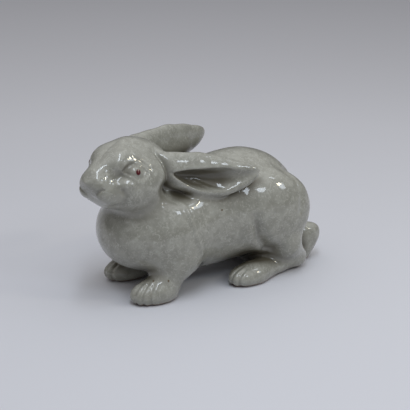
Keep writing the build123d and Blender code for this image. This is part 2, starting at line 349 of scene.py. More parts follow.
@dataclass(frozen=True)
class Trunk:
    """The barrel of the body with its shoulders, haunches and groin.

    Attributes:
        front: Where the breast ends, along Y.
        rear: Where the rump ends, along Y.
        halves: Half widths of the barrel's sections.
        tops: Heights of the back.
        bellies: Heights of the belly.
        shoulder: The left shoulder, which the right one mirrors.
        haunch: The left haunch, which the right one mirrors.
        groin: The fullness between the hind legs.
        haunch_groove: The groove that parts the haunch from the flank.
        shoulder_ridge: The ridge behind the shoulder.
        thigh_line: The line down the haunch.
        rump_groove: The groove behind the haunch, in a view from behind.
        flank: Distances from the middle plane between which the marks of the side set in.
        groove_top: Heights between which the haunch groove sets in.
        rump: Places along Y between which the rump groove sets in.
    """

    front: float = -88.5
    rear: float = 92.5
    halves: Sequence[float] = (0, 32, 41, 42.5, 43.5, 31, 0)
    tops: Sequence[float] = (47, 75, 92, 101, 104, 85, 42)
    bellies: Sequence[float] = (47, 25, 13, 9.5, 13, 14, 42)
    shoulder: Lump = Lump(Pod((30.0, -38.5, 44.0), (16.0, 24.0, 30.0)), 14.0)
    haunch: Lump = Lump(Pod((31.0, 54.5, 55.0), (18.0, 35.0, 34.0)), 10.0)
    groin: Lump = Lump(Pod((0.0, 57.0, 15.0), (31.0, 23.0, 12.5)), 8.0)
    haunch_groove: Stroke = Stroke(((27.5, 60), (28.5, 54), (33, 40), (43, 29), (58, 24)), 3.8, 4.1)
    shoulder_ridge: Stroke = Stroke(((-34, 78), (-28, 53.6), (-20.6, 36)), -0.8, 1.9)
    thigh_line: Stroke = Stroke(((59, 94), (69, 81), (73, 69), (71, 57)), 1.1, 2.6)
    rump_groove: Stroke = Stroke(((20, 84), (31, 66), (33, 46), (30, 24)), 1.8, 4.0)
    flank: Pair = (14.0, 26.0)
    groove_top: Pair = (68.0, 46.0)
    rump: Pair = (62.0, 74.0)

    def distance(self, points: Array) -> Array:
        """Distances to the barrel with its lumps.

        Args:
            points: Points as rows.

        Returns:
            One distance for each point.
        """
        barrel = Swell(
            (0, self.front, 0), (0, self.rear, 0), UP, self.halves, self.tops, self.bellies
        )
        form = barrel.distance(points)
        for side in Side:
            mirrored = side.mirror(points)
            form = self.haunch.press(self.shoulder.press(form, mirrored), mirrored)
        return self.groin.press(form, points)

    def carving(self, points: Array) -> Array:
        """The grooves before and behind each haunch, its line, and the ridge behind each shoulder.

        Args:
            points: Points as rows.

        Returns:
            How far the surface moves inwards at each point.
        """
        side, y, z = np.abs(points[..., 0]), points[..., 1], points[..., 2]
        groove = self.haunch_groove.mark(y, z) * fade(z, *self.groove_top)
        ridge = self.shoulder_ridge.mark(y, z)
        thigh = self.thigh_line.mark(y, z)
        behind = fade(y, *self.rump) * self.rump_groove.mark(side, z)
        return fade(side, *self.flank) * (groove + ridge + thigh) + behind


@dataclass(frozen=True)
class Head:
    """The head, counted in its own frame: behind the nose, to the left, and up from the floor.

    Lumps are given as left, behind and height. Strokes of the side are given as behind and height,
    strokes of the face as side and height, and the brow hollow as behind and side. A pair named for a
    side, a start, a front or an end holds the two places between which a mark sets in.

    Attributes:
        nose: Tip of the nose, set down on the floor.
        turn: How far the head is turned to the rabbit's left, in degrees.
        length: From the nose to the nape.
        halves: Half widths of the skull's sections.
        tops: Heights of its top.
        jaws: Heights of its underside.
        egg: How much narrower the skull is at its top, as a share.
        muzzle_lean: How far the muzzle leans back for each millimetre of height.
        lean_height: The height from which that counts.
        lean_limit: How far above that height it stops.
        lean_end: Distances behind the nose between which the lean sets in.
        eye: Middle of the left eyeball, as behind, left and height.
        eyeball: Radius of the eyeball.
        eye_lute: Width of the fillet round the eyeball.
        eye_opening: Half length and half height of the opening between the lids.
        opening_shift: How far the opening lies before the eyeball's middle and above it.
        opening_tilt: How far the opening's front end lies higher than its middle.
        bridge_height: Height of the ridge that runs down to the nose.
        bridge_width: Half width of that ridge at the nose.
        bridge_spread: How much wider it is for each millimetre backwards.
    """

    nose: Triple = (23.0, -111.1, 0.0)
    turn: float = 22.0
    length: float = 84.0
    halves: Sequence[float] = (0, 10.5, 16.5, 26, 30, 24, 0)
    tops: Sequence[float] = (103, 107.2, 116.4, 127.0, 126, 115, 101)
    jaws: Sequence[float] = (103, 82, 76, 74, 76, 84, 101)
    egg: float = 0.16
    muzzle_lean: float = 0.5
    lean_height: float = 103.0
    lean_limit: float = 3.0
    lean_end: Pair = (48.0, 8.0)
    whisker_pad: Lump = Lump(Pod((8.0, 11.0, 92.5), (7.5, 11.5, 8.5)), 5.0)
    cheek: Lump = Lump(Pod((17.0, 42.0, 93.0), (12.5, 20.0, 17.0)), 12.0)
    brow: Lump = Lump(Pod((11.0, 33.0, 114.6), (7.5, 13.0, 8.5)), 8.0)
    nose_wing: Lump = Lump(Pod((6.5, 12.5, 101.5), (4.5, 7.0, 4.5)), 6.0)
    nose_bone: Lump = Lump(Limb((5.0, 33.0, 117.4), (2.8, 9.0, 103.0), 5.2, 4.2), 7.0)
    eye: Triple = (34.0, 18.75, 107.0)
    eyeball: float = 7.0
    eye_lute: float = 2.5
    eye_opening: Pair = (9.6, 7.2)
    opening_shift: Pair = (1.2, 2.0)
    opening_tilt: float = 2.0
    eye_white: Ring = Ring(0.68, 0.15, 0.18)
    lid: Ring = Ring(1.05, -0.45, 0.3)
    lid_crease: Ring = Ring(1.62, 0.25, 0.26)
    crease_start: Pair = (0.0, 0.6)
    socket: Stroke = Stroke(((32, 109), (34, 109)), 0.7, 9.0)
    socket_side: Pair = (10.0, 18.0)
    bridge_height: float = 2.3
    bridge_width: float = 6.5
    bridge_spread: float = 0.12
    bridge_front: Pair = (1.0, 8.0)
    bridge_end: Pair = (64.0, 42.0)
    bridge_start: Pair = (100.0, 108.0)
    brow_hollow: Stroke = Stroke(((34, 18.5), (25, 15.5), (16, 13.5)), 0.9, 4.0)
    ear_crease: Stroke = Stroke(((57, 121), (60, 110), (62, 97), (63, 88)), 2.2, 2.6)
    ear_crease_side: Pair = (14.0, 22.0)
    tear_groove: Stroke = Stroke(((23.5, 106.5), (19, 104)), 0.8, 2.2)
    under_eye: Stroke = Stroke(((19, 101.5), (25, 100.5)), -0.8, 3.0)
    pad_edge: Stroke = Stroke(((21.2, 95.5), (22.8, 91.0), (22.2, 86), (17, 82)), 0.9, 1.9)
    brow_line: Stroke = Stroke(((21, 114), (26, 119.5), (31, 121.5), (38, 119.5), (46, 113)), -0.7, 3.0)
    jaw_fold: Stroke = Stroke(((61, 114), (63.5, 97), (62, 86), (55, 79)), 3.0, 3.6)
    cheek_side: Pair = (7.0, 14.0)
    nape_end: Pair = (95.0, 75.0)
    nostril: Stroke = Stroke(((4.0, 94.0), (8.0, 96.2), (11.5, 98.2)), 0.9, 1.3)
    lip: Stroke = Stroke(((0, 91), (4, 89), (8, 86.5)), 0.8, 1.4)
    philtrum: Stroke = Stroke(((0, 97), (0, 90)), 0.6, 1.2)
    face_end: Pair = (30.0, 20.0)

    def axes(self) -> Array:
        """Unit vectors backwards, to the left and upwards, as rows."""
        turn = math.radians(self.turn)
        return np.array([(-math.sin(turn), math.cos(turn), 0), (math.cos(turn), math.sin(turn), 0), UP])

    def local(self, points: Array) -> tuple[Array, Array, Array]:
        """How far points lie behind the nose, to the left and up."""
        return rows(points, np.asarray(self.nose, float), self.axes())

    def place(self, behind: float, left: float, height: float) -> Array:
        """A point of the head's own frame in the rabbit's frame."""
        return np.asarray(self.nose) + np.array([behind, left, height]) @ self.axes()

    def distance(self, points: Array) -> Array:
        """Distances to the skull, muzzle, cheeks and eyeballs.

        Args:
            points: Points as rows.

        Returns:
            One distance for each point.
        """
        behind, left, height = self.local(points)
        side = np.abs(left)
        rise = np.minimum(height - self.lean_height, self.lean_limit)
        leaning = behind + self.muzzle_lean * rise * fade(behind, *self.lean_end)
        skull = Swell(
            (0, 0, 0), (0, self.length, 0), UP, self.halves, self.tops, self.jaws, egg=self.egg
        )
        form = skull.distance(np.stack([left, leaning, height], -1))
        form = self.whisker_pad.press(form, np.stack([side, leaning, height], -1))
        upright = np.stack([side, behind, height], -1)
        for lump in (self.cheek, self.brow, self.nose_wing, self.nose_bone):
            form = lump.press(form, upright)
        form = form + self.socket.mark(behind, height) * fade(side, *self.socket_side)
        ball = Pod((self.eye[1], self.eye[0], self.eye[2]), (self.eyeball,) * 3)
        return Lump(ball, self.eye_lute).press(form, upright)

    def lids(self, behind: Array, height: Array) -> Array:
        """The rims of the eye opening, a lens that is pointed before and behind the eyeball.

        The lens is |up| + along * along = 1, with up and along in units of the opening.

        Args:
            behind: Distances behind the nose.
            height: Heights.

        Returns:
            How far the surface moves inwards at each point.
        """
        along = (behind - self.eye[0] + self.opening_shift[0]) / self.eye_opening[0]
        rise = height - self.eye[2] - self.opening_shift[1] + self.opening_tilt * along
        up = rise / self.eye_opening[1]
        lens = np.abs(up) + along * along
        crease = self.lid_crease.mark(lens) * fade(up, *self.crease_start)
        return self.eye_white.mark(lens) + self.lid.mark(lens) + crease

    def bridge(self, behind: Array, side: Array, height: Array) -> Array:
        """The ridge from the forehead down to the nose, and the hollow between it and each brow.

        The ridge is height * exp(-(side / width)^2), and widens backwards.

        Args:
            behind: Distances behind the nose.
            side: Distances from the head's middle plane.
            height: Heights.

        Returns:
            How far the surface moves inwards at each point.
        """
        width = self.bridge_width + self.bridge_spread * behind
        ridge = self.bridge_height * np.exp(-((side / width) ** 2))
        ridge = ridge * fade(behind, *self.bridge_front) * fade(behind, *self.bridge_end)
        return fade(height, *self.bridge_start) * (self.brow_hollow.mark(behind, side) - ridge)

    def jaw_crease(self, points: Array) -> Array:
        """The crease between the cheeks and the roots of the ears."""
        behind, left, height = self.local(points)
        return fade(np.abs(left), *self.ear_crease_side) * self.ear_crease.mark(behind, height)

    def carving(self, points: Array) -> Array:
        """Lids, brows, tear groove, whisker pads, nostrils, mouth and the fold behind the jaw.

        Args:
            points: Points as rows.

        Returns:
            How far the surface moves inwards at each point.
        """
        behind, left, height = self.local(points)
        side = np.abs(left)
        strokes = (self.tear_groove, self.under_eye, self.pad_edge, self.brow_line, self.jaw_fold)
        marks = sum(stroke.mark(behind, height) for stroke in strokes) + self.lids(behind, height)
        marks = fade(side, *self.cheek_side) * fade(behind, *self.nape_end) * marks
        face = sum(stroke.mark(side, height) for stroke in (self.nostril, self.lip, self.philtrum))
        return marks + fade(behind, *self.face_end) * face + self.bridge(behind, side, height)


@dataclass(frozen=True)
class Ear:
    """An ear laid back: a long leaf on a thick stalk, with a scoop in its outer face.

    Attributes:
        root: Middle of the stalk.
        tip: The pointed end.
        face: The way that the hollow looks.
        sunk: How far the leaf starts before its root, inside the head.
        sag: How far the middle of the leaf hangs below the line from root to tip.
        skew: How much more the half towards the tip hangs than the other, as a share.
        halves: Half widths of the leaf's sections.
        fronts: How far the sections reach to the way that the hollow looks.
        backs: How far they reach to the other way.
        ripple: Height of the soft waves along the leaf.
        ripple_length: Length of a wave, over two pi.
        scoop_shares: Where along the line from root to tip the scoop starts and ends.
        scoop_drop: How far the two ends of the scoop lie below that line.
        scoop_sag: How far the middle of the scoop hangs below the line between its ends.
        scoop_halves: Half widths of the scoop's sections.
        scoop_floors: Heights of the scoop's floor along the way that it looks.
        rim_round: Width over which the scoop's edge is rounded.
        fold: A soft ridge in the hollow, as distances along and below the line from root to tip.
        rim: Depths under the leaf's skin between which a point counts as inside the scoop.
        facing: Shares of looking the scoop's way between which a point counts as its floor.
        feel: How far out from the floor the leaf's skin is felt for.
        floor: Depths under the leaf's skin there between which the scoop counts as deep.
    """

    root: Triple
    tip: Triple
    face: Triple
    sunk: float = 9.0
    sag: float = 5.2
    skew: float = 0.9
    halves: Sequence[float] = (0, 11, 14, 17.6, 14.3, 7.4, 0)
    fronts: Sequence[float] = (0, 7, 7.5, 6.5, 5, 3, 0)
    backs: Sequence[float] = (0, -8, -9, -8.5, -6.5, -3.5, 0)
    ripple: float = 0.3
    ripple_length: float = 3.3
    scoop_shares: Pair = (0.165, 0.99)
    scoop_drop: Pair = (4.6, 1.0)
    scoop_sag: float = 5.7
    scoop_halves: Sequence[float] = (0, 3.0, 7.2, 9.4, 8.4, 4.2, 0)
    scoop_floors: Sequence[float] = (9, 0.5, -5.2, -3.8, 0.6, 1.5, 2.0)
    rim_round: float = 2.2
    fold: Stroke = Stroke(((33.0, 10.0), (44.0, 14.0), (53.0, 17.5)), 0.5, 1.4)
    rim: Pair = (-0.3, 0.8)
    facing: Pair = (0.0, 0.5)
    feel: float = 4.0
    floor: Pair = (-2.5, 4.5)

    def axes(self) -> tuple[Array, float]:
        """Unit vectors across, along and out of the leaf, and the sign of the way across that is down."""
        axes = triad(np.subtract(self.tip, self.root), self.face)
        return axes, -math.copysign(1, axes[0, 2])

    def leaf(self, points: Array) -> Array:
        """Distances to the leaf before it is scooped.

        Args:
            points: Points as rows.

        Returns:
            One distance for each point.
        """
        axes, down = self.axes()
        start = np.asarray(self.root) - axes[1] * self.sunk
        leaf = Swell(
            tuple(start), self.tip, self.face, self.halves, self.fronts, self.backs,
            bow=down * self.sag, skew=self.skew,
        )
        return leaf.distance(points)

    def hollow(self, points: Array, normals: Array) -> Array:
        """How deep in the scoop points of its surface lie, from 0 at the rim to 1 on the floor.

        Args:
            points: Points on the surface.
            normals: Unit vectors outwards.

        Returns:
            One share for each point.
        """
        axes, _ = self.axes()
        within = fade(-self.leaf(points), *self.rim) * fade(normals @ axes[2], *self.facing)
        return within * fade(-self.leaf(points + self.feel * axes[2]), *self.floor)

    def distance(self, points: Array) -> Array:
        """Distances to the leaf with its scoop taken out.

        Args:
            points: Points as rows.

        Returns:
            One distance for each point.
        """
        root, tip = np.asarray(self.root, float), np.asarray(self.tip, float)
        axes, down = self.axes()
        start, end = (
            root + (tip - root) * share + axes[0] * (down * drop)
            for share, drop in zip(self.scoop_shares, self.scoop_drop)
        )
        mouths = [2 * max(self.fronts)] * len(self.scoop_floors)
        scoop = Swell(
            tuple(start), tuple(end), self.face, self.scoop_halves, mouths, self.scoop_floors,
            bow=down * self.scoop_sag,
        )
        across, forward, _ = rows(points, root, axes)
        ridge = self.fold.mark(forward, across * down)
        ripple = self.ripple * np.sin(forward / self.ripple_length)
        return cut(self.leaf(points) + ripple, scoop.distance(points) + ridge, self.rim_round)


@dataclass(frozen=True)
class Toes:
    """Four toes of a foot, parted by three slits that fan out towards the tips.

    Attributes:
        reach: Length of the toes.
        pitch: Distance between the slits at the tips.
        fan: How much closer the slits lie for each millimetre behind the tips.
        depth: Depth of a slit.
        width: Distance from a slit's middle at which it fades.
        ends: Where the slits fade out and where they are full, in lengths of the toes from the tips.
        tops: Heights above the foot's middle between which the slits set in.
        patch: Half width and half length of the oval round the toes that holds the slits.
    """

    reach: float
    pitch: float = 6.2
    fan: float = 0.12
    depth: float = 1.05
    width: float = 1.5
    ends: Pair = (1.45, 0.6)
    tops: Pair = (14.0, 9.0)
    patch: Pair = (18.0, 22.0)

    def slits(self, points: Array, middle: Triple, along: Triple, length: float) -> Array:
        """How far the surface moves inwards between the toes: depth * exp(-(gap / width)^2) for each slit.

        Args:
            points: Points as rows.
            middle: Middle of the foot.
            along: The level way from the tips to the heel.
            length: Distance from the middle to the tips.

        Returns:
            The depth of the slits at each point.
        """
        x, y, z = rows(points, np.asarray(middle, float), triad(along, UP))
        tip = -length
        fade_out, full = (tip + share * self.reach for share in self.ends)
        front = fade(y, fade_out, full) * fade(z, *self.tops)
        slits = 0
        for count in (-1, 0, 1):
            gap = x - count * (self.pitch + self.fan * (tip - y))
            slits = slits + self.depth * np.exp(-((gap / self.width) ** 2))
        within = np.hypot(x / self.patch[0], (y - tip / 2) / self.patch[1]) < 1
        return front * slits * within


@dataclass(frozen=True)
class Foreleg:
    """A forearm that comes down out of the shoulder, and its paw.

    Attributes:
        top: Upper end of the forearm.
        paw: Middle of the paw.
        paw_halves: Half sizes of the paw.
        wrist: The wrist, counted from the middle of the paw.
        radii: Radii of the forearm at its top and at the wrist.
        lute: Width of the fillet between forearm and paw.
        toes: The paw's toes.
        toe_turn: How far the toes are turned, in degrees.
    """

    top: Triple
    paw: Triple
    paw_halves: Triple = (13.0, 20.5, 11.0)
    wrist: Triple = (0.0, 7.0, 5.0)
    radii: Pair = (14.0, 10.0)
    lute: float = 9.0
    toes: Toes = Toes(reach=13.0)
    toe_turn: float = 0.0

    def distance(self, points: Array) -> Array:
        """Distances to the forearm and the paw.

        Args:
            points: Points as rows.

        Returns:
            One distance for each point.
        """
        arm = Limb(self.top, tuple(np.add(self.paw, self.wrist)), *self.radii)
        return Lump(Pod(self.paw, self.paw_halves), self.lute).press(arm.distance(points), points)

    def carving(self, points: Array) -> Array:
        """The slits between the toes."""
        turn = math.radians(self.toe_turn)
        return self.toes.slits(points, self.paw, (-math.sin(turn), math.cos(turn), 0), self.paw_halves[1])


@dataclass(frozen=True)
class HindLeg:
    """The hock under a haunch and the long foot before it, given for the left side.

    Attributes:
        side: The side that the leg is on.
        hock_top: Upper end of the hock.
        heel: Lower end of the hock.
        hock_radii: Radii of the hock at its top and at the heel.
        foot_height: Height of the foot's middle at the heel.
        instep: Where the foot runs into the toes.
        foot_radii: Radii of the foot at the heel and at the instep.
        hock_lute: Width of the fillet between hock and foot.
        toe: Middle of the toes.
        toe_halves: Half sizes of the toes.
        toe_way: The way from the toes to the heel.
        toe_lute: Width of the fillet between foot and toes.
        toes: The foot's toes.
    """

    side: Side
    hock_top: Triple = (34.0, 66.0, 26.0)
    heel: Triple = (27.0, 80.5, 11.0)
    hock_radii: Pair = (13.0, 8.5)
    foot_height: float = 8.5
    instep: Triple = (36.0, 34.0, 6.0)
    foot_radii: Pair = (7.0, 8.5)
    hock_lute: float = 7.0
    toe: Triple = (36.5, 26.5, 6.0)
    toe_halves: Triple = (12.5, 19.0, 9.5)
    toe_way: Triple = (-0.19, 0.98, 0.0)
    toe_lute: float = 9.0
    toes: Toes = Toes(reach=12.0)

    def distance(self, points: Array) -> Array:
        """Distances to hock, foot and toes.

        Args:
            points: Points as rows.

        Returns:
            One distance for each point.
        """
        here = self.side.mirror(points)
        form = Limb(self.hock_top, self.heel, *self.hock_radii).distance(here)
        foot = Limb((self.heel[0], self.heel[1], self.foot_height), self.instep, *self.foot_radii)
        form = Lump(foot, self.hock_lute).press(form, here)
        return Lump(Pod(self.toe, self.toe_halves, self.toe_way), self.toe_lute).press(form, here)

    def carving(self, points: Array) -> Array:
        """The slits between the toes."""
        return self.toes.slits(self.side.mirror(points), self.toe, self.toe_way, self.toe_halves[1])


@dataclass(frozen=True)
class Tail:
    """The short tail that stands up behind the rump, a wedge that is thick towards the rump."""

    foot: Triple = (12.0, 97.5, -4.0)
    tip: Triple = (12.5, 106.0, 31.5)
    forward: Triple = (0.0, -1.0, 0.0)
    halves: Sequence[float] = (0, 7, 9, 10, 9.5, 6.5, 0)
    fronts: Sequence[float] = (0, 15, 20, 20, 18, 12, 0)
    backs: Sequence[float] = (0, -3, -6, -9.5, -11, -8, 0)

    def distance(self, points: Array) -> Array:
        """Distances to the tail."""
        form = Swell(self.foot, self.tip, self.forward, self.halves, self.fronts, self.backs)
        return form.distance(points)


@dataclass(frozen=True)
class Rabbit:
    """All parts, melted into one clay form that stands on the floor.

    Attributes:
        neck_root: Lower end of the neck, inside the trunk.
        nape: Upper end of the neck, in the head's frame.
        neck_radii: Radii of the neck at its two ends.
        neck_lute: Width of the fillet between neck and head.
        pocket: The hollow under the left ear, which the right side mirrors.
        pocket_round: Width over which the pocket's edge is rounded.
        lutes: Widths of the fillets where the parts join the trunk, in the order of joining.
        ear_lute: Width of the fillet at the ears.
        sole_round: Width over which the edges of the soles are rounded.
    """

    trunk: Trunk = Trunk()
    head: Head = Head()
    neck_root: Triple = (0.0, -36.0, 68.0)
    nape: Triple = (58.0, 0.0, 97.0)
    neck_radii: Pair = (33.5, 25.0)
    neck_lute: float = 7.0
    pocket: Pod = Pod((32.0, -35.0, 89.5), (10.5, 13.5, 9.0))
    pocket_round: float = 9.0
    left_ear: Ear = Ear(root=(18.0, -50.0, 106.5), tip=(45.0, 31.3, 97.5), face=(0.87, -0.3, 0.18))
    right_ear: Ear = Ear(
        root=(-20.0, -50.0, 112.0), tip=(-45.0, 32.0, 109.5), face=(-0.9, -0.25, 0.15), sag=3.0
    )
    forelegs: Sequence[Foreleg] = (
        Foreleg(top=(33.0, -34.5, 32.0), paw=(32.5, -59.0, 7.0), toe_turn=28.0),
        Foreleg(top=(-29.0, -34.5, 32.0), paw=(-23.5, -55.5, 7.0)),
    )
    hind_legs: Sequence[HindLeg] = tuple(HindLeg(side) for side in Side)
    tail: Tail = Tail()
    lutes: Sequence[tuple[str, float]] = (
        ("head_shell", 14.0), ("left_foreleg", 6.0), ("right_foreleg", 11.0), ("left_hind_leg", 8.0),
        ("right_hind_leg", 8.0), ("tail", 5.0),
    )
    ear_lute: float = 4.0
    sole_round: float = 1.6

    def neck(self, points: Array) -> Array:
        """Distances to the neck, which is cast with the head."""
        return Limb(self.neck_root, tuple(self.head.place(*self.nape)), *self.neck_radii).distance(points)

    def forms(self, points: Array) -> dict[str, Array]:
        """Distances to each cast part, by the name of its node.

        Args:
            points: Points as rows, in millimetres.

        Returns:
            One array of distances for each part.
        """
        head = self.head.distance(points) + self.head.carving(points)
        forms = {
            "trunk_shell": self.trunk.distance(points) + self.trunk.carving(points),
            "head_shell": melt(self.neck(points), head, self.neck_lute),
            "tail": self.tail.distance(points),
            "left_ear": self.left_ear.distance(points),
            "right_ear": self.right_ear.distance(points),
        }
        for kind, legs in (("foreleg", self.forelegs), ("hind_leg", self.hind_legs)):
            for side, leg in zip(Side, legs):
                forms[f"{side.name.lower()}_{kind}"] = leg.distance(points) + leg.carving(points)
        return forms

    def clay(self, points: Array) -> Array:
        """Distances to the whole form: parts melted into each other and cut flat at the floor.

        Args:
            points: Points as rows, in millimetres.

        Returns:
            One distance for each point.
        """
        forms = self.forms(points)
        form = forms["trunk_shell"]
        for name, band in self.lutes:
            form = melt(form, forms[name], band)
        for side in Side:
            form = cut(form, self.pocket.distance(side.mirror(points)), self.pocket_round)
        for name in ("left_ear", "right_ear"):
            form = melt(form, forms[name], self.ear_lute)
        return cut(form + self.head.jaw_crease(points), points[..., 2], self.sole_round)


@dataclass(frozen=True)
class SkinMesher:
    """Meshes the zero level of a field on a grid that is finer at the head.

    Attributes:
        low: Lowest corner of the grid.
        high: Highest corner of the grid.
        fine: Step of the grid across, up, and along the head.
        coarse: Step of the grid along the trunk.
        finer_before: Where along Y the steps change.
        block: Steps in a block that is tested as a whole.
        search: How far from a block's middle the surface is looked for, in lengths of a coarse block.
    """

    low: Triple = (-62.0, -118.0, -2.0)
    high: Triple = (62.0, 122.0, 134.0)
    fine: float = 0.9
    coarse: float = 1.25
    finer_before: float = -34.0
    block: int = 4
    search: float = 1.3

    def axes(self) -> list[Array]:
        """The grid's coordinates.

        Returns:
            Coordinates along X, Y and Z, in whole blocks.
        """
        x = np.arange(self.low[0], self.high[0], self.fine)
        y = np.concatenate([
            np.arange(self.low[1], self.finer_before, self.fine),
            np.arange(self.finer_before, self.high[1], self.coarse),
        ])
        z = np.arange(self.low[2], self.high[2], self.fine)
        return [axis[: len(axis) // self.block * self.block] for axis in (x, y, z)]

    def sample(self, surface: Field, axes: list[Array]) -> Array:
        """The field on the grid, worked out only in blocks that the surface may cross.

        Args:
            surface: The field.
            axes: The grid's coordinates.

        Returns:
            The field's values, with plus or minus infinity far from the surface.
        """
        centres = [axis.reshape(-1, self.block).mean(1) for axis in axes]
        points = np.stack(np.meshgrid(*centres, indexing="ij"), -1)
        rough = surface(points.reshape(-1, 3)).reshape(points.shape[:3])
        near = np.abs(rough) < self.search * self.block * self.coarse
        for axis in range(3):
            for shift in (1, -1):
                near |= (np.roll(rough, shift, axis) < 0) != (rough < 0)
        values = np.where(rough < 0, -np.inf, np.inf)
        for axis in range(3):
            near = np.repeat(near, self.block, axis)
            values = np.repeat(values, self.block, axis)
        picked = np.argwhere(near)
        places = np.stack([axis[picked[:, k]] for k, axis in enumerate(axes)], -1)
        values[near] = surface(places)
        return values

    def net(self, surface: Field) -> tuple[Array, Array]:
        """One point in each cell that the surface crosses, and a quad round each crossed grid edge.

        A cell's point is the mean of the crossings on its twelve edges.

        Args:
            surface: The field.

        Returns:
            Points as rows, and quads as rows of four point numbers.
        """
        axes = self.axes()
        values = self.sample(surface, axes)
        inside = values < 0
        cells = tuple(n - 1 for n in values.shape)
        index = -np.ones(cells, int)
        mixed = np.zeros(cells, bool)
        corners = [(i, j, k) for i in (0, 1) for j in (0, 1) for k in (0, 1)]
        first = inside[:-1, :-1, :-1]
        for i, j, k in corners:
            mixed |= inside[i : cells[0] + i, j : cells[1] + j, k : cells[2] + k] != first
        base = np.argwhere(mixed)
        index[mixed] = np.arange(len(base))
        total = np.zeros((len(base), 3))
        count = np.zeros(len(base))
        for corner in corners:
            for axis in range(3):
                if corner[axis]:
                    continue
                here = base + corner
                there = here + np.eye(3, dtype=int)[axis]
                one, two = values[tuple(here.T)], values[tuple(there.T)]
                crossed = (one < 0) != (two < 0)
                share = np.where(crossed, one / np.where(crossed, one - two, 1), 0)
                start = np.stack([a[here[:, k]] for k, a in enumerate(axes)], -1)
                end = np.stack([a[there[:, k]] for k, a in enumerate(axes)], -1)
                total += crossed[:, None] * (start + share[:, None] * (end - start))
                count += crossed
        points = total / count[:, None]
        quads = [self.ring(inside, index, axis) for axis in range(3)]
        return points, np.concatenate(quads)

    @staticmethod
    def ring(inside: Array, index: Array, axis: int) -> Array:
        """Quads round the grid edges along one axis that the surface crosses.

        Args:
            inside: Whether each grid point is inside the form.
            index: Number of each cell's point.
            axis: The axis that the edges run along.

        Returns:
            Quads as rows of four point numbers, facing outwards.
        """
        one, two = (axis + 1) % 3, (axis + 2) % 3
        lower = [slice(None)] * 3
        upper = [slice(None)] * 3
        lower[axis], upper[axis] = slice(0, -1), slice(1, None)
        edges = np.argwhere(inside[tuple(lower)] != inside[tuple(upper)])
        edges = edges[(edges[:, one] > 0) & (edges[:, two] > 0)]
        edges = edges[(edges[:, one] < index.shape[one]) & (edges[:, two] < index.shape[two])]
        offsets = np.zeros((4, 3), int)
        offsets[[0, 3], one] = 1
        offsets[[0, 1], two] = 1
        quads = np.stack([index[tuple((edges - offset).T)] for offset in offsets], -1)
        outwards = inside[tuple(lower)][tuple(edges.T)]
        return np.where(outwards[:, None], quads, quads[:, ::-1])


def slope_of(surface: Field, points: Array, reach: float = 0.15) -> Array:
    """The field's gradient by central differences."""
    steps = np.eye(3) * reach
    return np.stack([(surface(points + s) - surface(points - s)) / (2 * reach) for s in steps], -1)


def settle(surface: Field, points: Array, rounds: int = 2) -> Array:
    """Moves points along the gradient onto the zero level, at most a millimetre a round.

    Args:
        surface: The field.
        points: Points as rows.
        rounds: How often they are moved.

    Returns:
        The moved points.
    """
    for _ in range(rounds):
        slope = slope_of(surface, points)
        step = surface(points) / (np.sum(slope * slope, -1) + LEAST_RATIO)
        points = points - np.clip(step, -1, 1)[:, None] * slope
    return points


@dataclass(frozen=True)
class Mottle:
    """A cloudy pattern: its clouds in a metre, its levels of finer clouds, and how far it is drawn out."""

    scale: float
    detail: float
    twist: float = 0.0


